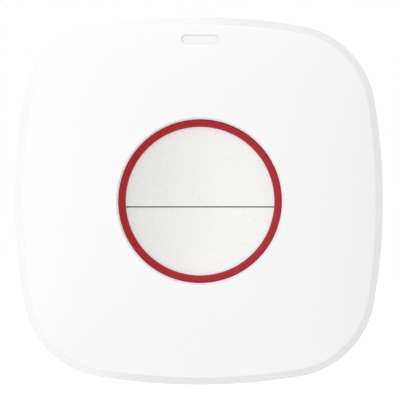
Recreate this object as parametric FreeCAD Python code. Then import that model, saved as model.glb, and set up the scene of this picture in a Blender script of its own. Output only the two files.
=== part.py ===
import FreeCAD, Part
import math
import os

# Wireless panic button with two alarm buttons, for a wall.
#
# Sizes are millimetres. Each piece is drawn lying down, as if the wall were a table: X is right and
# Y is up for someone who looks at the face, and Z comes out of the wall. Z = 0 is the wall.
# stand_up then turns the piece, so that Z is up and the face looks along -Y.

# Housing, its outline and its domed face
half_width = 39.0           # middle to the widest point of a side
side_radius = 130.0         # the long, slightly bowed sides
corner_radius = 19.2        # the corners between them
seam_height = 6.5           # wall to the seam between front cover and rear housing
crease_lift = 6.0           # circuit board's top to the crease round the face
side_lean = 1.68            # how far the side leans in between seam and crease
dome_rise = 4.8             # crease to the top of the dome, were it whole
dome_power = 2.5            # 2 is a plain parabola, and more is flatter in the middle
crease_round = 0.3
cover_wall = 1.8

# Rear housing
seam_gap = 0.3              # shadow line at the seam
seam_step = 0.2             # the rear housing starts this far inside the cover
rear_lean = 0.9
rear_round = 2.2
rim_lift = 0.4              # rear rim to the wall
rear_wall = 1.8             # at the floor
rear_floor = 1.6
lip_wall = 0.9              # what is left of the cover's wall beside the tongue
tongue_wall = 0.8
tongue_height = 1.7
close_fit = 0.1             # between fixed pieces that are pushed together
screw_fit = 0.05            # round a screw's shank

# Wall plate
plate_thickness = 2.0
plate_gap = 0.3             # round the plate in its pocket
pocket_inset = 4.6          # outline of the housing to the pocket's wall
hook_place = 15.0           # middle of the plate to a hook
hook_width = 8.0
hook_length = 1.3
hook_thickness = 1.0
wall_screw_spacing = 48.0
wall_screw_height = 6.0     # above the middle
wall_screw_hole = 2.1       # radius
wall_screw_sink = 4.2       # radius at the top of the countersink
wall_screw_land = 0.7       # straight part of the hole under the countersink
wall_slot_spacing = 40.0    # the two upright slots, above and below the middle
wall_slot_length = 9.0
wall_slot_land = 0.9        # thickness left under a slot's recess

# Accent ring and the hole that it lies in
ring_outer = 17.27
ring_inner = 15.68
ring_thickness = 1.3
ring_round = 0.25
ring_sink = 0.5             # edge of the hole down to the ring
ring_lip = 0.37             # how far the ring reaches over the buttons' edge
ring_lip_thickness = 0.45
ring_fit = 0.02
ring_pegs = 3
peg_radius = 0.3
peg_length = 0.7
bore_chamfer = 0.45         # width of the bevel round the ring
bore_chamfer_depth = 0.62
ledge_thickness = 1.0       # what the ring lies on
ledge_gap = 0.3             # ledge to button

# The two buttons, one dished disc that is split below its middle
button_gap = 0.08           # ring to button, beside it
lip_gap = 0.08              # button's edge to the ring's lip at rest
button_round = 0.15
split_drop = 1.23           # middle of the disc down to the split
split_gap = 0.22
split_bevel_width = 0.09
dish_depth = 2.4
cap_thickness = 1.2         # in the middle of the dish
flange_width = 1.35         # how far the flange reaches under the ledge
flange_thickness = 0.9
flange_gap = 0.1            # flange to ledge at rest
skirt_wall = 1.1
skirt_height = 2.0
button_travel = 0.8
button_rib = 0.9
rib_gap = 0.4               # ribs of a pressed button to the switch case
plunger_gap = 0.35          # ribs to the switch's plunger
well_gap = 0.15             # flange to the wall of the well
well_wall = 1.4
well_depth = 3.3            # ledge down to the well's lower edge
cover_rib = 1.05            # ribs from the well to the screw posts

# Indicator window and light pipe
slot_length = 8.0
slot_width = 2.0
slot_drop = 4.8             # housing's top edge down to the middle of the slot
slot_recess = 0.28          # cover's face down to the window
pipe_fit = 0.01
pipe_flange = 1.0           # width of the flange round the head
pipe_flange_thickness = 0.8
pipe_stem_length = 4.6
pipe_stem_gap = 0.3         # stem to light
led_drop = 0.6              # light below the middle of the slot
led_length = 3.5
led_width = 2.8
led_thickness = 1.9
led_lens = 1.15             # radius
led_case = 1.5              # height under the lens
led_round = 0.2

# Coin cell, its holder and its contacts
cell_radius = 12.25
cell_thickness = 5.0
cell_cap_radius = 10.6      # the smaller, negative side
cell_cap_thickness = 0.6
cell_edge = 0.6
cell_lift = 1.0             # wall plate to cell
cell_side_gap = 0.2
contact_room = 0.9          # cell to circuit board
holder_wall = 1.2
holder_gap = 0.35           # holder to rear housing
holder_lip = 0.5            # how far the holder stands beyond the cell
holder_web = 2.2            # width of the holder's seat on the board
holder_web_thickness = 0.7
nib_reach = 0.9
nib_width = 5.0
contact_sheet = 0.3
contact_width = 5.0
contact_foot = 2.6
contact_hook = 1.6
leaf_width = 4.0            # negative contact
leaf_foot = 3.5             # flat on the circuit board
leaf_slope = 4.5            # foot to the cell's middle
leaf_flat = 3.0             # flat on the cell
leaf_tip = 1.5              # turned-up end
leaf_curl = 0.35            # how far the end turns up

# Circuit board and what is on it
board_inset = 3.6           # outline of the housing to the board's edge
board_thickness = 1.2
board_screw_side_inset = 11.0   # housing's side to a side screw
board_screw_side_height = 3.0
board_screw_low_inset = 13.5    # housing's lower side to the lowest screw
standoff_radius = 2.6
notch_gap = 0.7             # round the housing's screw posts

# Alarm switches
switch_side = 6.0
switch_body = 3.5           # height
switch_cover = 0.4          # metal top plate
switch_plunger = 1.75       # radius
switch_stem = 1.5           # plunger above the top plate
switch_flange = 0.35        # plunger's flange beyond its stem
switch_fit = 0.07
switch_chamfer = 0.15       # plunger's edge
switch_foot_reach = 0.3     # soldering foot beyond its leg
switch_foot_width = 0.7
switch_sheet = 0.25         # feet and legs
switch_place = 7.8          # split to a switch's middle

# Tamper switch, on the back of the board
tamper_side = 4.5
tamper_body = 2.8
tamper_plunger = 0.9
tamper_travel = 0.3
tamper_inset = 16.0         # housing's side to the switch's middle
tamper_drop = 14.0          # below the middle
tamper_hole_gap = 0.4       # plunger to the hole in the rear housing

# Radio, controller and antenna
radio_margin = 3.9          # circuit board's edge to the radio board
radio_drop = 7.0            # below the middle
radio_length = 16.0
radio_width = 11.0
radio_thickness = 0.8
shield_inset = 0.8
shield_height = 1.8
shield_round = 0.6
shield_sheet = 0.2
chip_margin = 6.4           # circuit board's edge to the chip
chip_drop = 8.0             # below the middle
chip_side = 7.0
chip_thickness = 1.0
chip_standoff = 0.1
chip_chamfer = 0.2
chip_mark = 0.35            # radius of the dot beside its first pin
chip_mark_depth = 0.1
pin_count = 6               # on each side
pin_reach = 0.4
pin_thickness = 0.25
crystal_length = 3.2
crystal_width = 2.5
crystal_thickness = 0.8
crystal_round = 0.4
crystal_gap = 2.6           # chip to crystal
capacitor_count = 6
capacitor_length = 1.6
capacitor_width = 0.8
capacitor_thickness = 0.8
capacitor_pitch = 2.2
capacitor_gap = 2.2         # chip to the row of capacitors
antenna_margin = 4.1        # circuit board's edge to the antenna
antenna_length = 16.0
antenna_width = 3.6
antenna_height = 2.6
antenna_sheet = 0.4
antenna_leg = 1.2
antenna_slot = 1.0

# Screws
post_inset = 13.6           # housing's sides to a housing screw, along X and along Y
post_radius = 2.9
sleeve_wall = 0.9           # round the head's recess
sleeve_height = 2.9         # above the floor's top
thin_shank = 1.0
thin_head = 1.9
thin_head_height = 1.2
head_gap = 0.3              # head to its recess
housing_screw_length = 8.0
board_screw_length = 4.5
lock_screw_length = 5.0
lock_screw_height = 3.6     # wall to the locking screw
lock_head_depth = 0.4       # head below the housing's surface
lock_head_gap = 0.2
lock_boss_width = 8.0
lock_boss_depth = 4.2       # outer surface to the boss's inner face
lug_width = 6.0
lug_thickness = 2.4
lug_gap = 0.25              # boss to lug, and lug to the floor's window
cross_width = 0.5           # cross recess in a screw's head
cross_reach = 1.1
cross_depth = 0.8

# Places that follow from the sizes above
reach = side_radius - half_width
corner_span = side_radius - corner_radius
corner_centre = (math.sqrt(2 * corner_span ** 2 - reach ** 2) - reach) / 2
side_turn = math.degrees(math.atan2(corner_centre, corner_centre + reach))

ring_seat = ring_outer + ring_fit
bore_radius = ring_seat + bore_chamfer
button_radius = ring_inner + ring_lip
ring_bore = button_radius + button_gap
ledge_bore = button_radius + ledge_gap
flange_radius = button_radius + flange_width
well_radius = flange_radius + well_gap

floor_bottom = plate_thickness
floor_top = floor_bottom + rear_floor
cell_base = plate_thickness + cell_lift
cell_top = cell_base + cell_thickness
board_base = cell_top + contact_room
board_top = board_base + board_thickness
crease_height = board_top + crease_lift
plunger_top = board_top + switch_body + switch_stem
sleeve_top = floor_top + sleeve_height
holder_inner = cell_radius + cell_side_gap
holder_outer = holder_inner + holder_wall
split_place = -split_drop
upper_switch_y = split_place + switch_place
lower_switch_y = split_place - switch_place
slot_height = half_width - slot_drop
led_y = slot_height - led_drop
tongue_outer = lip_wall + close_fit
tongue_inner = tongue_outer + tongue_wall
hook_base = plate_thickness - hook_thickness

post_place = half_width - post_inset
post_distance = math.hypot(post_place, post_place)
notch_radius = post_radius + notch_gap
board_edge = half_width - board_inset
tamper_x = half_width - tamper_inset
tamper_y = -tamper_drop
radio_x = radio_margin + radio_width / 2 - board_edge
radio_y = -radio_drop
chip_x = board_edge - chip_margin - chip_side / 2
chip_y = -chip_drop
antenna_x = post_place - notch_radius - antenna_length
antenna_y = board_edge - antenna_margin - antenna_width / 2


# Small helpers

def place(x, y, z=0.0):
    return FreeCAD.Vector(x, y, z)


UP = place(0, 0, 1)
ORIGIN = place(0, 0, 0)


def direction(degrees):
    angle = math.radians(degrees)
    return place(math.cos(angle), math.sin(angle))


def cylinder(radius, x, y, low, high):
    return Part.makeCylinder(radius, high - low, place(x, y, low), UP)


def block(length, width, x, y, low, high):
    """A box with its middle at x, y."""
    corner = place(x - length / 2, y - width / 2, low)
    return Part.makeBox(length, width, high - low, corner)


def rounded_block(length, width, radius, x, y, low, high):
    """A box with its middle at x, y and its upright edges rounded."""
    body = block(length, width, x, y, low, high)
    upright = [edge for edge in body.Edges if abs(edge.tangentAt(edge.FirstParameter).z) > 0.9]
    return body.makeFillet(radius, upright)


def stadium(length, width, x, y, low, high):
    """A bar with round ends, its length along X."""
    radius = width / 2
    run = length / 2 - radius
    middle = block(2 * run, width, x, y, low, high)
    ends = [cylinder(radius, x + side * run, y, low, high) for side in (-1, 1)]
    return middle.multiFuse(ends).removeSplitter()


def turned(points):
    """Turns a closed profile of radius and height pairs round the Z axis."""
    corners = [place(radius, 0, height) for radius, height in points]
    face = Part.Face(Part.makePolygon(corners + corners[:1]))
    return face.revolve(ORIGIN, UP, 360)


def edges_at(shape, height):
    """Edges that lie flat at a height."""
    slack = 1e-4
    return [edge for edge in shape.Edges
            if abs(edge.BoundBox.ZMin - height) < slack and abs(edge.BoundBox.ZMax - height) < slack]


def fused(first, others):
    return first.multiFuse(others).removeSplitter()


# The outline is eight arcs in a ring, and every outline in the housing is a member of one family

def arc(centre, radius, first, last, height):
    return Part.makeCircle(radius, place(centre.x, centre.y, height), UP, first, last)


def arc_ring(share, side_arc, corner_arc, height):
    """Four side arcs and four corner arcs, tangent to each other. A share of 1 is the housing's own
    squareness and a share of 0 is a circle."""
    edges = []
    for quarter in range(4):
        angle = 90 * quarter
        outward = direction(angle)
        onward = direction(angle + 90)
        side_middle = outward * (-reach * share)
        corner_middle = (outward + onward) * (corner_centre * share)
        edges.append(arc(side_middle, side_arc, angle - side_turn, angle + side_turn, height))
        edges.append(arc(corner_middle, corner_arc, angle + side_turn, angle + 90 - side_turn, height))
    return Part.Wire(edges)


def outline(inset, height):
    """The housing's outline, moved in by inset."""
    return arc_ring(1, side_radius - inset, corner_radius - inset, height)


def straight(inset, low, high):
    """An upright prism on the outline."""
    return Part.Face(outline(inset, low)).extrude(place(0, 0, high - low))


def lean(height):
    """How far the cover's side has come in at a height."""
    return side_lean * (height - seam_height) / (crease_height - seam_height)


def leaning(inset, low, high):
    """A prism whose sides lean in as the cover's side does."""
    return Part.makeLoft([outline(lean(low) + inset, low), outline(lean(high) + inset, high)], True, True)


def dome_height(radius, edge_radius):
    """Height over the crease's level, at a radius on a dome that ends at edge_radius."""
    return dome_rise * (1 - (radius / edge_radius) ** dome_power)


def face_height(radius):
    return crease_height + dome_height(radius, half_width - side_lean)


def housing_form(inset, drop):
    """The cover's form from the seam up, moved in by inset and down by drop. The dome goes from the
    outline at the crease to a circle at the hole, which is open in the middle of the face."""
    edge_level = crease_height - drop
    edge_inset = lean(edge_level) + inset
    edge_radius = half_width - edge_inset
    steps = 7
    sections = []
    for step in range(steps + 1):
        share = 1 - step / steps
        side_arc = bore_radius + share * (side_radius - edge_inset - bore_radius)
        corner_arc = bore_radius + share * (corner_radius - edge_inset - bore_radius)
        radius = bore_radius + share * (edge_radius - bore_radius)
        level = edge_level + dome_height(radius, edge_radius)
        sections.append(arc_ring(share, side_arc, corner_arc, level))
    dome = Part.makeLoft(sections, True)
    return leaning(inset, seam_height, edge_level).fuse(dome)


rim_level = face_height(bore_radius)
ring_top = rim_level - ring_sink
ledge_top = ring_top - ring_thickness
ledge_base = ledge_top - ledge_thickness
flange_top = ledge_base - flange_gap
flange_base = flange_top - flange_thickness
button_edge = ring_top - ring_lip_thickness - lip_gap
dish_floor = button_edge - dish_depth
cap_base = dish_floor - cap_thickness
well_base = ledge_base - well_depth


# Screws

def pan_screw(length):
    """A screw that points up along Z, with the seat of its head at the origin. Its crown is two
    cones, and its thread is left plain."""
    crown = thin_head_height * 0.55
    body = turned([
        (0, -thin_head_height),
        (thin_head * 0.5, -thin_head_height),
        (thin_head * 0.82, -thin_head_height + crown * 0.35),
        (thin_head, -thin_head_height + crown),
        (thin_head, 0),
        (thin_shank, 0),
        (thin_shank, length - thin_shank),
        (thin_shank * 0.3, length),
        (0, length),
    ])
    bars = [
        block(2 * cross_reach, cross_width, 0, 0, -thin_head_height, cross_depth - thin_head_height),
        block(cross_width, 2 * cross_reach, 0, 0, -thin_head_height, cross_depth - thin_head_height),
    ]
    return body.cut(bars[0].fuse(bars[1]))


def post_places():
    return [(side * post_place, level * post_place) for side in (-1, 1) for level in (-1, 1)]


def board_screw_places():
    side = half_width - board_screw_side_inset
    low = board_screw_low_inset - half_width
    return [(-side, board_screw_side_height), (side, board_screw_side_height), (0, low)]


housing_seat = sleeve_top - rear_floor


def make_housing_screws():
    screws = []
    for x, y in post_places():
        screws.append(pan_screw(housing_screw_length).translated(place(x, y, housing_seat)))
    return Part.makeCompound(screws)


def make_board_screws():
    screws = []
    for x, y in board_screw_places():
        screw = pan_screw(board_screw_length)
        screw.rotate(ORIGIN, place(1, 0, 0), 180)
        screws.append(screw.translated(place(x, y, board_top)))
    return Part.makeCompound(screws)


# The locking screw goes in from below, through a boss in the rear housing, into the plate's lug

def rear_surface(height):
    """Distance from the middle to the rear housing's side, at a height."""
    share = (seam_height - seam_gap - height) / (seam_height - seam_gap - rim_lift)
    return half_width - seam_step - share * (rear_lean - seam_step)


lock_seat = rear_surface(lock_screw_height) - lock_head_depth - thin_head_height
lock_boss_face = rear_surface(lock_screw_height) - lock_boss_depth
lug_face = lock_boss_face - lug_gap
lug_top = lock_screw_height + thin_shank + lug_thickness / 2


def lock_hole(radius, start, end):
    """A round hole along Y through the housing's lower side, from start to end below the middle."""
    return Part.makeCylinder(radius, start - end, place(0, -start, lock_screw_height), place(0, 1, 0))


def make_locking_screw():
    screw = pan_screw(lock_screw_length)
    screw.rotate(ORIGIN, place(1, 0, 0), -90)
    return screw.translated(place(0, -lock_seat, lock_screw_height))


# Front cover

def ring_peg_places():
    middle = (ledge_bore + ring_outer) / 2
    return [direction(90 + 360 * index / ring_pegs) * middle for index in range(ring_pegs)]


def make_front_cover():
    outer = housing_form(0, 0)
    outer = outer.makeFillet(crease_round, edges_at(outer, crease_height))
    shell = outer.cut(housing_form(cover_wall, cover_wall))

    # Inner features reach half way into the wall, and so join it
    reach_form = housing_form(cover_wall / 2, cover_wall / 2)
    posts = [cylinder(post_radius, x, y, sleeve_top, rim_level) for x, y in post_places()]
    well = cylinder(well_radius + well_wall, 0, 0, well_base, rim_level)
    ribs = []
    for quarter in range(4):
        rib = block(post_distance, cover_rib, post_distance / 2, 0, well_base, rim_level)
        rib.rotate(ORIGIN, UP, 45 + 90 * quarter)
        ribs.append(rib)
    collar = stadium(slot_length + 2 * pipe_flange + 2 * cover_wall, slot_width + 2 * pipe_flange,
                     0, slot_height, crease_height - cover_wall, rim_level)
    collar = collar.cut(stadium(slot_length + 2 * pipe_flange + 2 * close_fit,
                                slot_width + 2 * pipe_flange + 2 * close_fit,
                                0, slot_height, crease_height - 2 * cover_wall, rim_level))
    features = well.multiFuse(posts + ribs + [collar])
    shell = shell.fuse(features.common(reach_form))

    # Round opening: bevel, seat of the ring, ledge and well
    opening = turned([
        (0, well_base - 1),
        (well_radius, well_base - 1),
        (well_radius, ledge_base),
        (ledge_bore, ledge_base),
        (ledge_bore, ledge_top),
        (ring_seat, ledge_top),
        (ring_seat, rim_level - bore_chamfer_depth),
        (bore_radius, rim_level),
        (bore_radius + bore_chamfer, rim_level + bore_chamfer_depth),
        (0, rim_level + bore_chamfer_depth),
    ])
    cuts = [opening]
    cuts += [cylinder(thin_shank + screw_fit, x, y, sleeve_top - 1, housing_seat + housing_screw_length + 1)
             for x, y in post_places()]
    cuts += [cylinder(peg_radius + screw_fit, spot.x, spot.y, ledge_top - peg_length - close_fit, ledge_top)
             for spot in ring_peg_places()]
    cuts.append(stadium(slot_length, slot_width, 0, slot_height, seam_height, rim_level))

    # Rebate in the lower edge, for the rear housing's tongue
    tongue_room = seam_height + tongue_height + close_fit
    rebate = leaning(lip_wall, seam_height, tongue_room)
    cuts.append(rebate.cut(leaning(tongue_inner + close_fit, seam_height, tongue_room)))
    return shell.cut(cuts[0].multiFuse(cuts[1:])).removeSplitter()


def make_accent_ring():
    """Ring with three pegs, and a thin lip that covers the buttons' edge."""
    body = cylinder(ring_outer, 0, 0, ledge_top, ring_top)
    body = body.cut(cylinder(ring_inner, 0, 0, ledge_top, ring_top))
    body = body.cut(cylinder(ring_bore, 0, 0, ledge_top, ring_top - ring_lip_thickness))
    body = body.makeFillet(ring_round, edges_at(body, ring_top))
    pegs = [cylinder(peg_radius, spot.x, spot.y, ledge_top - peg_length, ledge_top)
            for spot in ring_peg_places()]
    return fused(body, pegs)


# Buttons

dish_ball = (button_radius ** 2 + dish_depth ** 2) / (2 * dish_depth)
dish_centre = dish_floor + dish_ball
skirt_base = flange_base - skirt_height
rib_base = board_top + switch_body + button_travel + rib_gap


def button_disc():
    """The whole disc, turned as one profile: dish, rounded rim, side, flange and skirt."""
    round_middle = button_radius - button_round
    round_level = dish_centre - math.sqrt((dish_ball + button_round) ** 2 - round_middle ** 2)
    slope = math.atan2(round_middle, dish_centre - round_level)
    half_turn = (math.pi / 2 + slope) / 2

    def on_dish(angle):
        return place(dish_ball * math.sin(angle), 0, dish_centre - dish_ball * math.cos(angle))

    rim_middle = place(round_middle + button_round * math.cos(half_turn), 0,
                       round_level + button_round * math.sin(half_turn))
    rim_end = place(button_radius, 0, round_level)
    corners = [
        rim_end,
        place(button_radius, 0, flange_top),
        place(flange_radius, 0, flange_top),
        place(flange_radius, 0, skirt_base),
        place(0, 0, skirt_base),
        on_dish(0),
    ]
    edges = [
        Part.Arc(on_dish(0), on_dish(slope / 2), on_dish(slope)).toShape(),
        Part.Arc(on_dish(slope), rim_middle, rim_end).toShape(),
    ]
    edges += [Part.makeLine(first, second) for first, second in zip(corners, corners[1:])]
    return Part.Face(Part.Wire(edges)).revolve(ORIGIN, UP, 360)


def split_bevel(face, side):
    """A wide flat cone about the dish's centre, which takes the sharp edge off the split."""
    far_face = face + side * split_bevel_width
    near_radius = math.sqrt(dish_ball ** 2 - face ** 2) + split_bevel_width
    far_radius = math.sqrt(dish_ball ** 2 - far_face ** 2)
    cone = Part.makeCone(near_radius, far_radius, split_bevel_width, place(0, face, dish_centre),
                         place(0, side, 0))
    width = 2 * flange_radius
    return cone.common(block(width, width, 0, 0, cap_base, button_edge))


def button_half(side):
    """One part of the split disc. side is 1 above the split and -1 below it."""
    far = 2 * flange_radius
    face = split_place + side * split_gap / 2
    inner_face = face + side * skirt_wall

    def beyond(level):
        return block(far, far, 0, level + side * far / 2, skirt_base, button_edge)

    # The disc's seam line points down, clear of the pieces that are cut from it
    disc = button_disc().rotated(ORIGIN, UP, -90)
    body = disc.common(beyond(face)).cut(split_bevel(face, side))
    hollow = cylinder(flange_radius - skirt_wall, 0, 0, skirt_base, cap_base)
    body = body.cut(hollow.common(beyond(inner_face)))

    # A nib stands on the switch, and two ribs carry it, which are cut away round the plunger
    switch_y = split_place + side * switch_place
    nib = cylinder(switch_plunger, 0, switch_y, plunger_top, cap_base)
    ribs = block(far, button_rib, 0, switch_y, rib_base, cap_base)
    ribs = ribs.fuse(block(button_rib, far, 0, switch_y, rib_base, cap_base))
    inside = cylinder(flange_radius - skirt_wall / 2, 0, 0, rib_base, cap_base)
    ribs = ribs.common(inside).common(beyond(face + side * skirt_wall / 2))
    ribs = ribs.cut(cylinder(switch_plunger + plunger_gap, 0, switch_y, skirt_base, plunger_top))
    return fused(body, [nib, ribs])


def make_upper_button():
    return button_half(1)


def make_lower_button():
    return button_half(-1)


# Switches, drawn with the foot at Z = 0 and the plunger pointing up

def switch_case(side, height, plunger, travel):
    """Case with a metal top plate, four rivets, a stepped bore and four soldering feet."""
    corner = side * 0.08
    body = rounded_block(side, side, corner, 0, 0, 0, height - switch_cover)
    plate = rounded_block(side - 2 * corner, side - 2 * corner, corner, 0, 0, height - switch_cover, height)
    spread = side / 2 - 2.2 * corner
    rivets = [cylinder(corner, x * spread, y * spread, height, height + 0.4 * corner)
              for x in (-1, 1) for y in (-1, 1)]
    feet = []
    leg = side / 2 + corner / 4
    foot = 2 * (corner + switch_foot_reach)
    for x in (-1, 1):
        for y in (-1, 1):
            feet.append(block(foot, switch_foot_width, x * (side / 2 + corner), y * side / 3,
                              0, switch_sheet))
            feet.append(block(switch_sheet, switch_foot_width, x * leg, y * side / 3, 0, height / 2))
    body = fused(body, [plate] + rivets + feet)
    chamber_top = height - switch_cover
    chamber_base = chamber_top - switch_flange - travel - 3 * close_fit
    chamber = cylinder(plunger + switch_flange + close_fit, 0, 0, chamber_base, chamber_top)
    bore = cylinder(plunger + switch_fit, 0, 0, chamber_top, height)
    return body.cut(chamber.fuse(bore))


def switch_stem_piece(height, plunger, stem):
    """Plunger with a flange that the top plate holds in."""
    flange_level = height - switch_cover - close_fit
    stalk = cylinder(plunger, 0, 0, flange_level - switch_flange, height + stem)
    stalk = stalk.makeChamfer(switch_chamfer, edges_at(stalk, height + stem))
    flange = cylinder(plunger + switch_flange, 0, 0, flange_level - switch_flange, flange_level)
    return fused(stalk, [flange])


def on_board(shape, y):
    return shape.translated(place(0, y, board_top))


def under_board(shape):
    shape.rotate(ORIGIN, place(1, 0, 0), 180)
    return shape.translated(place(tamper_x, tamper_y, board_base))


def make_upper_switch_case():
    return on_board(switch_case(switch_side, switch_body, switch_plunger, button_travel), upper_switch_y)


def make_lower_switch_case():
    return on_board(switch_case(switch_side, switch_body, switch_plunger, button_travel), lower_switch_y)


def make_upper_switch_plunger():
    return on_board(switch_stem_piece(switch_body, switch_plunger, switch_stem), upper_switch_y)


def make_lower_switch_plunger():
    return on_board(switch_stem_piece(switch_body, switch_plunger, switch_stem), lower_switch_y)


def make_tamper_switch_case():
    return under_board(switch_case(tamper_side, tamper_body, tamper_plunger, tamper_travel))


def make_tamper_switch_plunger():
    """Long plunger that stands on the wall plate while the unit is on it."""
    stem = board_base - tamper_body - plate_thickness
    return under_board(switch_stem_piece(tamper_body, tamper_plunger, stem))


# Circuit board

def make_circuit_board():
    board = straight(board_inset, board_base, board_top)
    cuts = []
    for x, y in post_places():
        cuts.append(cylinder(notch_radius, x, y, board_base, board_top))
        slot = block(half_width, 2 * notch_radius, half_width / 2, 0, board_base, board_top)
        slot.rotate(ORIGIN, UP, math.degrees(math.atan2(y, x)))
        cuts.append(slot.translated(place(x, y)))
    cuts += [cylinder(thin_shank + close_fit, x, y, board_base, board_top) for x, y in board_screw_places()]
    return board.cut(cuts[0].multiFuse(cuts[1:]))


def make_indicator_led():
    case_top = board_top + led_case
    lens_top = board_top + led_thickness
    case = rounded_block(led_length, led_width, led_round, 0, led_y, board_top, case_top)
    lens = cylinder(led_lens, 0, led_y, case_top, lens_top)
    lens = lens.makeChamfer((lens_top - case_top) * 0.75, edges_at(lens, lens_top))
    return fused(case, [lens])


def make_light_pipe():
    """Clear window in the slot, held by a flange inside the cover, with a stem down to the light."""
    flange_length = slot_length + 2 * pipe_flange
    flange_width_y = slot_width + 2 * pipe_flange
    head = stadium(slot_length - 2 * pipe_fit, slot_width - 2 * pipe_fit, 0, slot_height,
                   seam_height, rim_level)
    head = head.common(housing_form(slot_recess, slot_recess))
    under_cover = housing_form(cover_wall + pipe_fit, cover_wall + pipe_fit)
    flange_drop = cover_wall + pipe_fit + pipe_flange_thickness
    flange = stadium(flange_length, flange_width_y, 0, slot_height, seam_height, rim_level)
    flange = flange.common(under_cover)
    stem_top = crease_height
    led_top = board_top + led_thickness
    stem = stadium(pipe_stem_length, slot_width - 2 * pipe_fit, 0, led_y,
                   led_top + pipe_stem_gap, stem_top)
    stem = stem.common(under_cover)
    below = housing_form(cover_wall, flange_drop)
    head = head.cut(below)
    flange = flange.cut(below)
    return fused(head, [flange, stem])


def make_radio_board():
    return block(radio_width, radio_length, radio_x, radio_y, board_top, board_top + radio_thickness)


def make_radio_shield():
    base = board_top + radio_thickness
    top = base + shield_height
    length = radio_length - 2 * shield_inset
    width = radio_width - 2 * shield_inset
    can = rounded_block(width, length, shield_round, radio_x, radio_y, base, top)
    can = can.makeChamfer(shield_round / 2, edges_at(can, top))
    return can.cut(rounded_block(width - 2 * shield_sheet, length - 2 * shield_sheet,
                                 shield_round - shield_sheet, radio_x, radio_y, base, top - shield_sheet))


def make_controller_chip():
    top = board_top + chip_thickness
    body = block(chip_side, chip_side, chip_x, chip_y, board_top + chip_standoff, top)
    body = body.makeChamfer(chip_chamfer, edges_at(body, top))
    mark_shift = chip_side * 0.35
    mark = cylinder(chip_mark, chip_x - mark_shift, chip_y + mark_shift, top - chip_mark_depth, top)
    pitch = chip_side * 0.8 / pin_count
    across = chip_side + 2 * pin_reach
    pins = []
    for index in range(pin_count):
        shift = (index - (pin_count - 1) / 2) * pitch
        pins.append(block(across, pitch / 2, chip_x, chip_y + shift, board_top, board_top + pin_thickness))
        pins.append(block(pitch / 2, across, chip_x + shift, chip_y, board_top, board_top + pin_thickness))
    return fused(body.cut(mark), pins)


def make_crystal():
    y = chip_y - chip_side / 2 - crystal_gap - crystal_width / 2
    return rounded_block(crystal_length, crystal_width, crystal_round, chip_x, y, board_top,
                         board_top + crystal_thickness)


def make_chip_capacitors():
    y = chip_y + chip_side / 2 + capacitor_gap + capacitor_length / 2
    pieces = []
    for index in range(capacitor_count):
        x = chip_x + (index - (capacitor_count - 1) / 2) * capacitor_pitch
        pieces.append(block(capacitor_width, capacitor_length, x, y, board_top,
                            board_top + capacitor_thickness))
    return Part.makeCompound(pieces)


def make_antenna():
    """Stamped strip on two legs, with a slot that makes its run longer."""
    top = board_top + antenna_height
    middle = antenna_x + antenna_length / 2
    strip = block(antenna_length, antenna_width, middle, antenna_y, top - antenna_sheet, top)
    slot_run = antenna_length * 0.75
    slot = block(slot_run, antenna_slot, middle + (antenna_length - slot_run) / 2, antenna_y,
                 top - antenna_sheet, top)
    legs = []
    for shift in (0, 3 * antenna_leg):
        x = antenna_x + antenna_leg / 2 + shift
        legs.append(block(antenna_leg, antenna_sheet, x, antenna_y - antenna_width / 2 + antenna_sheet / 2,
                          board_top, top - antenna_sheet))
    return fused(strip.cut(slot), legs)


# Coin cell, holder and contacts

def make_battery_cell():
    """Positive can with a rolled shoulder towards the smaller negative cap, which faces the board."""
    shoulder = cell_top - cell_cap_thickness
    can = cylinder(cell_radius, 0, 0, cell_base, shoulder)
    can = can.makeChamfer(cell_edge, edges_at(can, cell_base) + edges_at(can, shoulder))
    cap = cylinder(cell_cap_radius, 0, 0, shoulder, cell_top)
    cap = cap.makeChamfer(cell_cap_thickness * 0.6, edges_at(cap, cell_top))
    return fused(can, [cap])


def contact_notch(angle, low, high):
    """Room in the holder's wall for a contact."""
    middle = holder_inner + holder_wall / 2
    notch = block(4 * holder_wall, contact_width + 2 * close_fit, middle, 0, low, high)
    notch.rotate(ORIGIN, UP, angle)
    return notch


positive_angle = 90
nib_angles = (0, 180)


def make_battery_holder():
    low = cell_base - holder_lip
    wall = cylinder(holder_outer, 0, 0, low, board_base)
    web = cylinder(holder_outer + holder_web, 0, 0, board_base - holder_web_thickness, board_base)
    body = wall.fuse(web).cut(cylinder(holder_inner, 0, 0, low, board_base))
    nibs = []
    for angle in nib_angles:
        middle = holder_inner + (holder_wall / 2 - nib_reach) / 2
        nib = block(nib_reach + holder_wall / 2, nib_width, middle, 0, low, cell_base - close_fit)
        nib.rotate(ORIGIN, UP, angle)
        nibs.append(nib)
    body = fused(body, nibs)
    return body.cut(contact_notch(positive_angle, low, board_base))


def bent_strip(path, width):
    """Sheet metal of contact_sheet, bent along a path of radius and height pairs, centred on X."""
    points = [place(radius, 0, height) for radius, height in path]
    line = Part.makePolygon(points)
    face = line.makeOffset2D(contact_sheet / 2, 0, True, True)
    strip = face.extrude(place(0, width, 0))
    return strip.translated(place(0, -width / 2, 0))


def make_positive_contact():
    """Clip that runs from the board down the cell's side and hooks under its edge."""
    half = contact_sheet / 2
    side = cell_radius + half + screw_fit
    foot = board_base - half
    hook = cell_base - half - screw_fit
    path = [(side + contact_foot, foot), (side, foot), (side, hook), (side - contact_hook, hook)]
    strip = bent_strip(path, contact_width)
    strip.rotate(ORIGIN, UP, positive_angle)
    return strip


def make_negative_contact():
    """Leaf under the board that presses on the cell's cap."""
    half = contact_sheet / 2
    foot = board_base - half
    touch = cell_top + half + screw_fit
    path = [
        (-leaf_slope - leaf_foot, foot),
        (-leaf_slope, foot),
        (0, touch),
        (leaf_flat, touch),
        (leaf_flat + leaf_tip, touch + leaf_curl),
    ]
    return bent_strip(path, leaf_width)


# Rear housing

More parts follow.
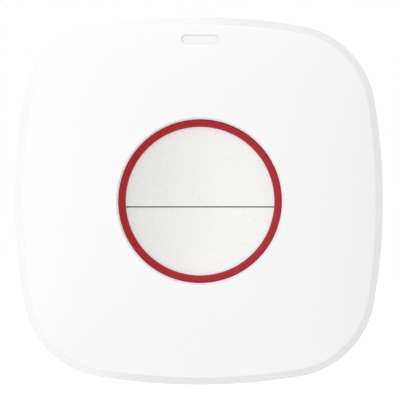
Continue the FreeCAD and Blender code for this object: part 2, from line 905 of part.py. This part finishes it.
def make_rear_housing():
    seam_low = seam_height - seam_gap
    outer = Part.makeLoft([outline(rear_lean, rim_lift), outline(seam_step, seam_low)], True, True)
    outer = outer.makeFillet(rear_round, edges_at(outer, rim_lift))
    tongue = leaning(tongue_outer, seam_low, seam_height + tongue_height)
    floor_edge = half_width - rear_surface(floor_top) + rear_wall
    cavity = Part.makeLoft([outline(floor_edge, floor_top), outline(tongue_inner, seam_height)], True, True)
    cavity = cavity.fuse(leaning(tongue_inner, seam_height, seam_height + tongue_height))
    body = outer.fuse(tongue).cut(cavity)
    body = body.cut(straight(pocket_inset, 0, floor_bottom))

    added = [cylinder(thin_head + head_gap + sleeve_wall, x, y, floor_bottom, sleeve_top)
             for x, y in post_places()]
    added += [cylinder(standoff_radius, x, y, floor_bottom, board_base) for x, y in board_screw_places()]
    boss_length = half_width - tongue_inner - lock_boss_face
    added.append(block(lock_boss_width, boss_length, 0, -(lock_boss_face + boss_length / 2),
                       floor_bottom, lock_screw_height + thin_head))
    body = body.multiFuse(added)

    low = floor_bottom
    cuts = []
    for x, y in post_places():
        cuts.append(cylinder(thin_shank + close_fit, x, y, low, sleeve_top))
        cuts.append(cylinder(thin_head + head_gap, x, y, low, housing_seat))
    for x, y in board_screw_places():
        cuts.append(cylinder(thin_shank + screw_fit, x, y, floor_top, board_base))
    cuts.append(cylinder(holder_outer + holder_gap, 0, 0, low, floor_top))
    cuts.append(cylinder(tamper_plunger + tamper_hole_gap, tamper_x, tamper_y, low, floor_top))
    cuts.append(lock_hole(thin_shank + close_fit, half_width, lock_boss_face))
    cuts.append(lock_hole(thin_head + lock_head_gap, half_width, lock_seat))
    window_low = lock_boss_face
    window_high = lug_face - lug_thickness - lug_gap
    cuts.append(block(lug_width + 2 * lug_gap, window_low - window_high, 0,
                      -(window_low + window_high) / 2, low, floor_top))
    plate_edge = half_width - pocket_inset
    for side in (-1, 1):
        cuts.append(block(hook_width + 2 * close_fit, 2 * (hook_length + plate_gap), side * hook_place,
                          plate_edge, hook_base - close_fit, hook_base + hook_thickness))
    return body.cut(cuts[0].multiFuse(cuts[1:])).removeSplitter()


# Wall plate

def make_wall_plate():
    body = straight(pocket_inset + plate_gap, 0, plate_thickness)
    plate_edge = half_width - pocket_inset
    hooks = []
    for side in (-1, 1):
        hooks.append(block(hook_width, 2 * hook_length, side * hook_place, plate_edge,
                           hook_base, plate_thickness))
    lug = block(lug_width, lug_thickness, 0, -(lug_face - lug_thickness / 2), 0, lug_top)
    body = fused(body, hooks + [lug])
    cuts = []
    for side in (-1, 1):
        x = side * wall_screw_spacing / 2
        cuts.append(cylinder(wall_screw_hole, x, wall_screw_height, 0, plate_thickness))
        sink = Part.makeCone(wall_screw_hole, wall_screw_sink, plate_thickness - wall_screw_land,
                             place(x, wall_screw_height, wall_screw_land), UP)
        cuts.append(sink)
        slots = [
            stadium(wall_slot_length, 2 * wall_screw_hole, 0, 0, 0, plate_thickness),
            stadium(wall_slot_length + 2 * (wall_screw_sink - wall_screw_hole), 2 * wall_screw_sink,
                    0, 0, wall_slot_land, plate_thickness),
        ]
        for slot in slots:
            slot.rotate(ORIGIN, UP, 90)
            cuts.append(slot.translated(place(0, side * wall_slot_spacing / 2)))
    cuts.append(lock_hole(thin_shank + screw_fit, lug_face, lug_face - lug_thickness))
    return body.cut(cuts[0].multiFuse(cuts[1:]))


def stand_up(shape):
    turned_shape = shape.copy()
    turned_shape.rotate(ORIGIN, place(1, 0, 0), 90)
    return turned_shape


PIECES = {
    "front_cover": make_front_cover,
    "accent_ring": make_accent_ring,
    "upper_button": make_upper_button,
    "lower_button": make_lower_button,
    "light_pipe": make_light_pipe,
    "indicator_led": make_indicator_led,
    "upper_switch_case": make_upper_switch_case,
    "upper_switch_plunger": make_upper_switch_plunger,
    "lower_switch_case": make_lower_switch_case,
    "lower_switch_plunger": make_lower_switch_plunger,
    "circuit_board": make_circuit_board,
    "radio_board": make_radio_board,
    "radio_shield": make_radio_shield,
    "controller_chip": make_controller_chip,
    "crystal": make_crystal,
    "chip_capacitors": make_chip_capacitors,
    "antenna": make_antenna,
    "tamper_switch_case": make_tamper_switch_case,
    "tamper_switch_plunger": make_tamper_switch_plunger,
    "battery_holder": make_battery_holder,
    "positive_contact": make_positive_contact,
    "negative_contact": make_negative_contact,
    "battery_cell": make_battery_cell,
    "board_screws": make_board_screws,
    "rear_housing": make_rear_housing,
    "housing_screws": make_housing_screws,
    "wall_plate": make_wall_plate,
    "locking_screw": make_locking_screw,
}

os.makedirs("parts", exist_ok=True)
for name, make in PIECES.items():
    stand_up(make()).exportStep(f"parts/{name}.step")
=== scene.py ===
"""Looks, light and camera of a wireless panic button with two alarm buttons, for a wall."""

import math

import bpy
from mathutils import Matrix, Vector


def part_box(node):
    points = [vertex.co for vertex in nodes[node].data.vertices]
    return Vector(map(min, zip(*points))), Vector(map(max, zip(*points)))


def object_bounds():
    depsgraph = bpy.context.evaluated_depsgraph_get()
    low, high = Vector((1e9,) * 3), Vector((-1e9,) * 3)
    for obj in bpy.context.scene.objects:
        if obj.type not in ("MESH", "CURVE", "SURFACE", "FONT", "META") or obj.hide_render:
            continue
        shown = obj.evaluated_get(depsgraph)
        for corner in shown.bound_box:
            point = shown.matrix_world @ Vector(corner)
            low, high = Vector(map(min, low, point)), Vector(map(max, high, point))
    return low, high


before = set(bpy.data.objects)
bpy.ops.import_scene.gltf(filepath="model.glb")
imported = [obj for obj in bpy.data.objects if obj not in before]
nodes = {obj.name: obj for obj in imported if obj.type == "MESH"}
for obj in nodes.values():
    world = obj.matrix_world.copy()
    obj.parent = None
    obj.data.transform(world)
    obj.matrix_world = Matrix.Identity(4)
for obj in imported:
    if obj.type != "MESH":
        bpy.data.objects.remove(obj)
cad_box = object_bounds()

MM = 0.001

# Camera, far off and nearly straight in front. The body's middle lies a little left of the image's
# middle and a little below it.
camera_distance = 3.0           # from the wall
camera_turn = -1.0              # degrees to the right of straight in front
camera_rise = 0.05              # degrees above the level of the disc
sensor_width = 36.0             # in millimetres, as the lens
view_width = 84.86 * MM         # at the seam, where the housing is widest
aim_right = 0.21 * MM           # body's middle to the image's middle
aim_up = 0.228 * MM
seam_depth = 6.5 * MM           # wall to seam

# Light. A level is the share of a surface's colour that a source brings back. The world's lean is how
# much more light comes from the right, from behind and from above.
world_level = 0.808
world_lean = (-0.063, 0, -0.01)
lamp_distance = 0.7

# What glossy surfaces see: white, but dimmer on the right and where the camera is
dim_level = 0.76                # on the right
dim_turn = -5.3                 # degrees upwards that the dim side is turned
front_level = 0.3               # straight in front
front_start = 0.45              # cosine of the angle off straight in front where it starts to dim
front_full = 0.95               # and where it is at its dimmest

# Floor
floor_gap = 6.0 * MM            # housing to floor
floor_size = 8.0
floor_tones = (0.855, 0.865)    # darkest and lightest
floor_cloud = 400.0             # lumps of its tone, in millimetres
floor_lift = 0.6                # glow that only the camera sees

# Finishes, in millimetres
noise_range = (0.3, 0.7)        # where nearly all values of a noise lie
cloud_size = 14.0               # lumps of a plastic's tone
peel_size = 1.6                 # lumps of a moulded face's waviness
gloss_change = 0.04             # roughness that a plastic's grain adds and takes
tin_colour = (0.75, 0.74, 0.71)
tin_roughness = 0.3

# Shape that shading adds to the visible pieces, in millimetres
dish_curve = 0.0105             # dish's height, times the square of X
dish_rim = 0.000008             # the same, times the fourth power of the distance from its middle
ring_fall = 0.25                # what the ring's face falls for each millimetre inwards
ring_edge_fall = 1.0            # what its outer edge falls for each millimetre outwards
ring_edge_width = 0.3           # how wide that edge is
rim_fall = 0.5                  # what the face falls at the middle of its sides
rim_power = 8.0                 # how close to the edge that fall keeps
square_power = 3.3              # 2 is a circle, and more is squarer

# Sizes of inner pieces, in millimetres, which tell their plated parts and lenses from their bodies
pin_length = 0.38               # of the chip, beside its body
plating_start = 0.56            # share of a capacitor's half length
lens_radius = 1.15              # of the indicator
alarm_case = 3.1                # height of an alarm switch under its plated top
alarm_foot = 1.2                # what its feet reach beside its case
tamper_case = 2.4               # the same for the tamper switch
tamper_foot = 0.98


def middle(node):
    low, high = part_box(node)
    return (low + high) / 2


def half_size(node):
    """Half of a piece's width, depth and height, in millimetres."""
    low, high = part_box(node)
    return (high - low) / MM / 2


def shaded(colour, share):
    return tuple(value * share for value in colour)


class Tree:
    """A node tree, with short calls for the nodes that the finishes and the world share."""

    def __init__(self, holder):
        holder.use_nodes = True
        self.nodes = holder.node_tree.nodes
        self.links = holder.node_tree.links

    def node(self, kind, **settings):
        made = self.nodes.new(kind)
        for name, value in settings.items():
            setattr(made, name, value)
        return made

    def link(self, start, end):
        self.links.new(start, end)

    def feed(self, value, socket):
        """Links a node's output to a socket, or sets the socket to a plain value."""
        if isinstance(value, bpy.types.NodeSocket):
            self.link(value, socket)
        else:
            socket.default_value = value

    def maths(self, operation, first, second=0.0):
        made = self.node("ShaderNodeMath", operation=operation)
        self.feed(first, made.inputs[0])
        self.feed(second, made.inputs[1])
        return made.outputs[0]

    def spread(self, value, low, high, start=0.0, end=1.0, **settings):
        """Maps start..end to low..high, and holds it there."""
        made = self.node("ShaderNodeMapRange", **settings)
        self.link(value, made.inputs["Value"])
        for name, number in (("From Min", start), ("From Max", end), ("To Min", low), ("To Max", high)):
            made.inputs[name].default_value = number
        return made.outputs[0]

    def between(self, share, first, second):
        """A number between two. Sockets 2 and 3 are the node's pair for numbers."""
        made = self.node("ShaderNodeMix", data_type="FLOAT")
        self.feed(share, made.inputs["Factor"])
        self.feed(first, made.inputs[2])
        self.feed(second, made.inputs[3])
        return made.outputs[0]


class Finish(Tree):
    """A material and its nodes. Lengths in the calls are millimetres."""

    def __init__(self, name, colour, roughness, **settings):
        self.material = bpy.data.materials.new(name)
        super().__init__(self.material)
        self.colour = colour
        self.roughness = roughness
        self.shader = self.nodes["Principled BSDF"]
        self.shader.inputs["Base Color"].default_value = (*colour, 1)
        self.shader.inputs["Roughness"].default_value = roughness
        for socket, value in settings.items():
            self.shader.inputs[socket.replace("_", " ")].default_value = value
        scale = self.node("ShaderNodeVectorMath", operation="SCALE")
        self.link(self.node("ShaderNodeTexCoord").outputs["Object"], scale.inputs[0])
        scale.inputs["Scale"].default_value = 1 / MM
        self.place = scale.outputs[0]

    def drive(self, socket, value):
        """Links a node's output to one of the shader's sockets."""
        self.link(value, self.shader.inputs[socket])

    def shifted(self, origin, stretch=(1, 1, 1)):
        """Places measured from a point, and stretched along the axes."""
        mapping = self.node("ShaderNodeMapping", vector_type="TEXTURE")
        mapping.inputs["Location"].default_value = [value / MM for value in origin]
        mapping.inputs["Scale"].default_value = stretch
        self.link(self.place, mapping.inputs["Vector"])
        return mapping.outputs[0]

    def parts(self, vector):
        """X, Y and Z of a vector."""
        made = self.node("ShaderNodeSeparateXYZ")
        self.link(vector, made.inputs[0])
        return made.outputs

    def radius(self, centre):
        """Distance from the axis that runs through a point along Y."""
        flat = self.parts(self.shifted(centre))
        squares = [self.maths("POWER", flat[axis], 2.0) for axis in (0, 2)]
        return self.maths("SQRT", self.maths("ADD", *squares))

    def noise(self, size, detail=3, vector=None):
        """Noise from 0 to 1 whose lumps measure size."""
        made = self.node("ShaderNodeTexNoise")
        made.inputs["Scale"].default_value = 1 / size
        made.inputs["Detail"].default_value = detail
        self.link(vector or self.place, made.inputs["Vector"])
        return made.outputs["Fac"]

    def beyond(self, value, limit):
        """1 where the value's size is over the limit."""
        return self.maths("GREATER_THAN", self.maths("ABSOLUTE", value), limit)

    def mixed(self, share, first, second):
        """A colour between two. Sockets 6 and 7 are the node's pair for colours."""
        made = self.node("ShaderNodeMix", data_type="RGBA")
        self.feed(share, made.inputs["Factor"])
        for value, socket in ((first, made.inputs[6]), (second, made.inputs[7])):
            self.feed((*value, 1) if isinstance(value, tuple) else value, socket)
        return made.outputs[2]

    def toned(self, share, colour, darkest, lightest):
        """A colour times a factor that goes from darkest to lightest."""
        return self.mixed(share, shaded(colour, darkest), shaded(colour, lightest))

    def relief(self, height, depth):
        """Raises the surface by depth where height is 1, on top of the relief that it has."""
        normal = self.shader.inputs["Normal"]
        made = self.node("ShaderNodeBump")
        made.inputs["Distance"].default_value = depth * MM
        self.link(height, made.inputs["Height"])
        if normal.is_linked:
            self.link(normal.links[0].from_socket, made.inputs["Normal"])
        self.link(made.outputs[0], normal)


# Plastics

def moulded_plastic(name, colour, roughness, peel_depth, grain_size, grain_depth, tone, **settings):
    """Moulded plastic: cloudy tone, the soft waviness of a moulded face, and the mould's grain."""
    finish = Finish(name, colour, roughness, **settings)
    cloud = finish.noise(cloud_size)
    grain = finish.noise(grain_size)
    blend = finish.maths("MULTIPLY", finish.maths("ADD", cloud, grain), 0.5)
    finish.drive("Base Color", finish.toned(blend, colour, darkest=1 - tone, lightest=1 + tone))
    gloss = finish.spread(grain, roughness - gloss_change, roughness + gloss_change, *noise_range)
    finish.drive("Roughness", gloss)
    finish.relief(finish.noise(peel_size, detail=1), peel_depth)
    finish.relief(grain, grain_depth)
    return finish


def lower_rim(finish):
    """Makes the face look a little more domed towards its square edge."""
    half_width = half_size("front_cover").x
    from_middle = finish.parts(finish.shifted(middle("front_cover")))
    sides = []
    for axis in (0, 2):
        share = finish.maths("DIVIDE", finish.maths("ABSOLUTE", from_middle[axis]), half_width)
        sides.append(finish.maths("POWER", share, square_power))
    fall = finish.maths("POWER", finish.maths("ADD", *sides), rim_power / square_power)
    finish.relief(fall, depth=-rim_fall)


def make_cover_plastic():
    finish = moulded_plastic("cover_plastic", colour=(0.90, 0.90, 0.90), roughness=0.22,
                             peel_depth=0.0012, grain_size=0.12, grain_depth=0.0002, tone=0.004)
    lower_rim(finish)
    return finish


def make_housing_plastic():
    return moulded_plastic("housing_plastic", colour=(0.89, 0.89, 0.89), roughness=0.34,
                           peel_depth=0.0012, grain_size=0.15, grain_depth=0.0010, tone=0.006)


def make_plate_plastic():
    return moulded_plastic("plate_plastic", colour=(0.88, 0.88, 0.875), roughness=0.42,
                           peel_depth=0.002, grain_size=0.2, grain_depth=0.003, tone=0.01)


def make_button_plastic():
    """Satin, with a fine grain, and a dish that looks a little deeper than it is, most at its rim."""
    finish = moulded_plastic("button_plastic", colour=(0.870, 0.866, 0.851), roughness=0.42,
                             peel_depth=0.001, grain_size=0.38, grain_depth=0.15, tone=0.04)
    disc_centre = middle("accent_ring")
    across = finish.maths("POWER", finish.parts(finish.shifted(disc_centre))[0], 2.0)
    rim = finish.maths("POWER", finish.radius(disc_centre), 4.0)
    height = finish.maths("ADD", finish.maths("MULTIPLY", across, dish_curve),
                          finish.maths("MULTIPLY", rim, dish_rim))
    finish.relief(height, depth=1)
    return finish


def make_ring_plastic():
    """Deep red, with a face that falls a little towards the buttons and rounds off at its outer edge."""
    finish = moulded_plastic("ring_plastic", colour=(0.385, 0.013, 0.020), roughness=0.2,
                             peel_depth=0.001, grain_size=0.15, grain_depth=0.0004, tone=0.03,
                             Specular_IOR_Level=0.36)
    from_axis = finish.radius(middle("accent_ring"))
    edge_start = half_size("accent_ring").x - ring_edge_width
    past_start = finish.maths("MAXIMUM", finish.maths("SUBTRACT", from_axis, edge_start), 0.0)
    finish.relief(from_axis, depth=ring_fall)
    finish.relief(past_start, depth=-ring_edge_fall)
    return finish


def make_window_plastic():
    """Milky, so that light spreads inside it."""
    reach = 0.3 * MM
    finish = moulded_plastic("window_plastic", colour=(0.878, 0.883, 0.883), roughness=0.3,
                             peel_depth=0.0008, grain_size=0.1, grain_depth=0.0003, tone=0.004,
                             Subsurface_Weight=0.15, Subsurface_Radius=(reach, reach, reach),
                             Subsurface_Scale=1.0)
    lower_rim(finish)
    return finish


def make_black_plastic():
    return moulded_plastic("black_plastic", colour=(0.022, 0.022, 0.024), roughness=0.48,
                           peel_depth=0.001, grain_size=0.12, grain_depth=0.004, tone=0.12)


# Metals

def cloud_metal(finish, size, smooth, dull):
    """Clouds of tone and gloss, as plated metal has them."""
    cloud = finish.noise(size)
    finish.drive("Base Color", finish.toned(cloud, finish.colour, darkest=0.94, lightest=1.04))
    finish.drive("Roughness", finish.spread(cloud, smooth, dull, *noise_range))


def drawn_metal(name, colour, roughness, line_depth, stretch=(1, 1, 1)):
    """Metal with clouded gloss and fine lines, which run along the stretched axis."""
    finish = Finish(name, colour, roughness, Metallic=1.0)
    cloud_metal(finish, size=2.5, smooth=roughness - 0.06, dull=roughness + 0.1)
    lines = finish.noise(size=0.06, detail=4, vector=finish.shifted((0, 0, 0), stretch))
    finish.relief(lines, line_depth)
    return finish


def make_plated_sheet():
    return drawn_metal("plated_sheet", colour=(0.78, 0.775, 0.75), roughness=0.3, line_depth=0.0008,
                       stretch=(1, 1, 14))


def make_screw_steel():
    return drawn_metal("screw_steel", colour=(0.68, 0.68, 0.67), roughness=0.28, line_depth=0.0012)


def make_cell_steel():
    """Nickel-plated can with rings from the press on its two faces."""
    turn_rate = 24.0            # radians for each millimetre
    finish = Finish("cell_steel", colour=(0.72, 0.72, 0.70), roughness=0.25, Metallic=1.0)
    cloud_metal(finish, size=3.0, smooth=0.18, dull=0.36)
    turns = finish.maths("MULTIPLY", finish.radius(middle("battery_cell")), turn_rate)
    finish.relief(finish.maths("SINE", turns), depth=0.0005)
    return finish


# Electronics. Places and boxes of the pieces tell plated ends, feet and lenses from the rest.

def plate_with_tin(finish, mask):
    """Leaves the finish's own colour where the mask is 0, and puts bare tin where it is 1."""
    grain = finish.noise(size=0.12)
    body = finish.toned(grain, finish.colour, darkest=0.85, lightest=1.15)
    finish.drive("Base Color", finish.mixed(mask, body, tin_colour))
    finish.drive("Metallic", mask)
    finish.drive("Roughness", finish.spread(mask, finish.roughness, tin_roughness))
    finish.relief(grain, depth=0.003)


def make_chip_finish():
    finish = Finish("chip_epoxy", colour=(0.03, 0.03, 0.033), roughness=0.5)
    half_body = half_size("controller_chip").x - pin_length
    from_middle = finish.parts(finish.shifted(middle("controller_chip")))
    pins = [finish.beyond(from_middle[axis], half_body) for axis in (0, 2)]
    plate_with_tin(finish, finish.maths("MAXIMUM", *pins))
    return finish


def make_capacitor_finish():
    """The capacitors stand in a row along X, with their plated ends above and below."""
    finish = Finish("brown_ceramic", colour=(0.42, 0.29, 0.18), roughness=0.55)
    from_middle = finish.parts(finish.shifted(middle("chip_capacitors")))
    plate_with_tin(finish, finish.beyond(from_middle[2], half_size("chip_capacitors").z * plating_start))
    return finish


def make_switch_finish(node, side, case_height, foot_length):
    """Black case with a plated top and feet. The side is 1 on the board's front, and -1 on its back."""
    finish = Finish(node + "_finish", colour=(0.03, 0.03, 0.032), roughness=0.5)
    low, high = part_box(node)
    on_board = middle(node)
    on_board.y = high.y if side > 0 else low.y
    from_board = finish.parts(finish.shifted(on_board))
    top = finish.maths("GREATER_THAN", finish.maths("MULTIPLY", from_board[1], -side), case_height)
    feet = finish.beyond(from_board[0], half_size(node).x - foot_length)
    plate_with_tin(finish, finish.maths("MAXIMUM", top, feet))
    return finish


def make_led_finish():
    """White case with a pale yellow lens in its middle."""
    case_roughness, lens_roughness = 0.4, 0.12
    darker, lighter, lens_colour = (0.82, 0.82, 0.80), (0.88, 0.88, 0.86), (0.85, 0.78, 0.32)
    finish = Finish("led_finish", lighter, case_roughness)
    lens = finish.maths("LESS_THAN", finish.radius(middle("indicator_led")), lens_radius)
    grain = finish.noise(size=0.2, detail=2)
    finish.drive("Base Color", finish.mixed(lens, finish.mixed(grain, darker, lighter), lens_colour))
    finish.drive("Roughness", finish.spread(lens, case_roughness, lens_roughness))
    finish.relief(grain, depth=0.001)
    return finish


def make_board_finish(name, node, lacquer, track_pitch):
    """Glass fibre board: lacquer over tracks on its faces, and the bare yellowish weave on its edge."""
    face_roughness, edge_roughness = 0.28, 0.7
    track_start = 0.38          # share of the pitch from the middle of a field to the tracks round it
    face_slope = 0.7            # cosine of the angle to Y up to which a surface is one of the faces
    finish = Finish(name, lacquer, face_roughness)
    fields = finish.node("ShaderNodeTexVoronoi", distance="CHEBYCHEV", feature="F1")
    fields.inputs["Scale"].default_value = 1 / track_pitch
    finish.link(finish.shifted(middle(node)), fields.inputs["Vector"])
    track = finish.maths("GREATER_THAN", fields.outputs["Distance"], track_start)
    grain = finish.noise(size=0.4)
    over_track = finish.toned(grain, lacquer, darkest=1.35, lightest=1.6)
    over_board = finish.toned(grain, lacquer, darkest=0.85, lightest=1.1)
    weave = finish.noise(size=0.15, detail=2, vector=finish.shifted((0, 0, 0), stretch=(6, 1, 6)))
    edge = finish.mixed(weave, (0.42, 0.38, 0.20), (0.55, 0.50, 0.30))
    outwards = finish.parts(finish.node("ShaderNodeNewGeometry").outputs["Normal"])
    is_face = finish.beyond(outwards[1], face_slope)
    finish.drive("Base Color", finish.mixed(is_face, edge, finish.mixed(track, over_board, over_track)))
    finish.drive("Roughness", finish.spread(is_face, edge_roughness, face_roughness))
    finish.relief(track, depth=0.02)
    return finish


# Which finish each piece gets

def dress():
    button = make_button_plastic()
    black = make_black_plastic()
    sheet = make_plated_sheet()
    steel = make_screw_steel()
    finishes = {
        "front_cover": make_cover_plastic(),
        "rear_housing": make_housing_plastic(),
        "wall_plate": make_plate_plastic(),
        "accent_ring": make_ring_plastic(),
        "upper_button": button,
        "lower_button": button,
        "light_pipe": make_window_plastic(),
        "indicator_led": make_led_finish(),
        "circuit_board": make_board_finish("board_lacquer", "circuit_board",
                                           lacquer=(0.02, 0.17, 0.06), track_pitch=3.2),
        "radio_board": make_board_finish("radio_board_lacquer", "radio_board",
                                         lacquer=(0.012, 0.06, 0.16), track_pitch=1.6),
        "upper_switch_case": make_switch_finish("upper_switch_case", 1, alarm_case, alarm_foot),
        "lower_switch_case": make_switch_finish("lower_switch_case", 1, alarm_case, alarm_foot),
        "tamper_switch_case": make_switch_finish("tamper_switch_case", -1, tamper_case, tamper_foot),
        "upper_switch_plunger": black,
        "lower_switch_plunger": black,
        "tamper_switch_plunger": black,
        "battery_holder": black,
        "controller_chip": make_chip_finish(),
        "radio_shield": sheet,
        "antenna": sheet,
        "positive_contact": sheet,
        "negative_contact": sheet,
        "crystal": sheet,
        "battery_cell": make_cell_steel(),
        "chip_capacitors": make_capacitor_finish(),
        "board_screws": steel,
        "housing_screws": steel,
        "locking_screw": steel,
    }
    for name, finish in finishes.items():
        slots = nodes[name].material_slots
        if not slots:
            nodes[name].data.materials.append(finish.material)
        for slot in slots:
            slot.material = finish.material


# Floor, light and camera

def make_floor():
    """A white floor close under the housing. It shows as white to the camera and takes shadows, light
    from below passes it, and it is clear for a camera under it."""
    level = cad_box[0].z - floor_gap
    half = floor_size / 2
    mesh = bpy.data.meshes.new("floor")
    corners = [(-half, -half, level), (half, -half, level), (half, half, level), (-half, half, level)]
    mesh.from_pydata(corners, [], [(0, 1, 2, 3)])
    floor = bpy.data.objects.new("floor", mesh)
    bpy.context.scene.collection.objects.link(floor)
    floor.visible_diffuse = False
    floor.visible_glossy = False
    floor.visible_shadow = False
    darkest, lightest = [(tone, tone, tone) for tone in floor_tones]
    finish = Finish("floor_paint", lightest, roughness=0.9)
    finish.drive("Base Color", finish.mixed(finish.noise(floor_cloud, detail=2), darkest, lightest))
    finish.shader.inputs["Emission Color"].default_value = (1, 1, 1, 1)
    to_camera = finish.node("ShaderNodeLightPath").outputs["Is Camera Ray"]
    finish.drive("Emission Strength", finish.maths("MULTIPLY", to_camera, floor_lift))
    sides = finish.node("ShaderNodeMixShader")
    finish.link(finish.node("ShaderNodeNewGeometry").outputs["Backfacing"], sides.inputs[0])
    finish.link(finish.shader.outputs[0], sides.inputs[1])
    finish.link(finish.node("ShaderNodeBsdfTransparent").outputs[0], sides.inputs[2])
    finish.link(sides.outputs[0], finish.nodes["Material Output"].inputs["Surface"])
    mesh.materials.append(finish.material)


def make_world():
    """White to the camera. Other light leans: more of it comes from the left. Glossy surfaces see white
    that is dimmer on the right and round the camera."""
    world = bpy.data.worlds.new("studio")
    bpy.context.scene.world = world
    sky = Tree(world)
    direction = sky.node("ShaderNodeTexCoord").outputs["Generated"]

    def along(vector):
        made = sky.node("ShaderNodeVectorMath", operation="DOT_PRODUCT")
        sky.link(direction, made.inputs[0])
        made.inputs[1].default_value = vector
        return made.outputs["Value"]

    leaning = sky.maths("ADD", along(world_lean), world_level)

    turn = math.radians(dim_turn)
    on_right = sky.maths("GREATER_THAN", along((math.cos(turn), 0, math.sin(turn))), 0.0)
    front = sky.spread(along((0, -1, 0)), 1.0, front_level, front_start, front_full,
                       interpolation_type="SMOOTHSTEP")
    mirrored = sky.maths("MULTIPLY", sky.between(on_right, 1.0, dim_level), front)

    path = sky.node("ShaderNodeLightPath").outputs
    in_gloss = sky.maths("MAXIMUM", path["Is Glossy Ray"], path["Is Transmission Ray"])
    level = sky.between(path["Is Camera Ray"], sky.between(in_gloss, leaning, mirrored), 1.0)
    background = sky.nodes["Background"]
    background.inputs["Strength"].default_value = 1.0
    sky.link(level, background.inputs["Color"])


def put(thing, azimuth, elevation, distance, aim):
    """Puts a lamp or camera at a distance from a point, so that it faces the point. Azimuth 0 is in
    front of the object and 90 is on its right, in degrees."""
    turn, rise = math.radians(azimuth), math.radians(elevation)
    away = Vector((math.sin(turn) * math.cos(rise), -math.cos(turn) * math.cos(rise), math.sin(rise)))
    thing.location = aim + away * distance
    thing.rotation_mode = "QUATERNION"
    thing.rotation_quaternion = away.to_track_quat("Z", "Y")
    bpy.context.scene.collection.objects.link(thing)


def make_softbox(name, azimuth, elevation, size, level):
    """A square lamp that faces the object and doesn't show to the camera."""
    data = bpy.data.lights.new(name, "AREA")
    data.size = size
    data.energy = level * (math.pi * lamp_distance) ** 2
    lamp = bpy.data.objects.new(name, data)
    lamp.visible_camera = False
    put(lamp, azimuth, elevation, lamp_distance, aim=Vector((0, 0, 0)))


def make_light():
    make_world()
    make_softbox("key", azimuth=-58, elevation=12, size=0.3, level=0.100)
    make_softbox("front", azimuth=-20, elevation=10, size=0.9, level=0.184)
    make_softbox("top", azimuth=0, elevation=80, size=0.9, level=0.252)
    make_softbox("low", azimuth=0, elevation=-60, size=0.9, level=0.145)
    make_softbox("right", azimuth=100, elevation=10, size=0.9, level=0.114)


def make_camera():
    to_seam = camera_distance - seam_depth
    data = bpy.data.cameras.new("camera")
    data.sensor_width = sensor_width
    data.lens = sensor_width * to_seam / view_width
    data.clip_start = 0.05
    data.clip_end = 50.0
    camera = bpy.data.objects.new("camera", data)
    put(camera, camera_turn, camera_rise, to_seam, aim=Vector((aim_right, -seam_depth, aim_up)))
    bpy.context.scene.camera = camera


def settle_colours():
    bpy.context.scene.view_settings.view_transform = "Standard"


dress()
make_floor()
make_light()
make_camera()
settle_colours()
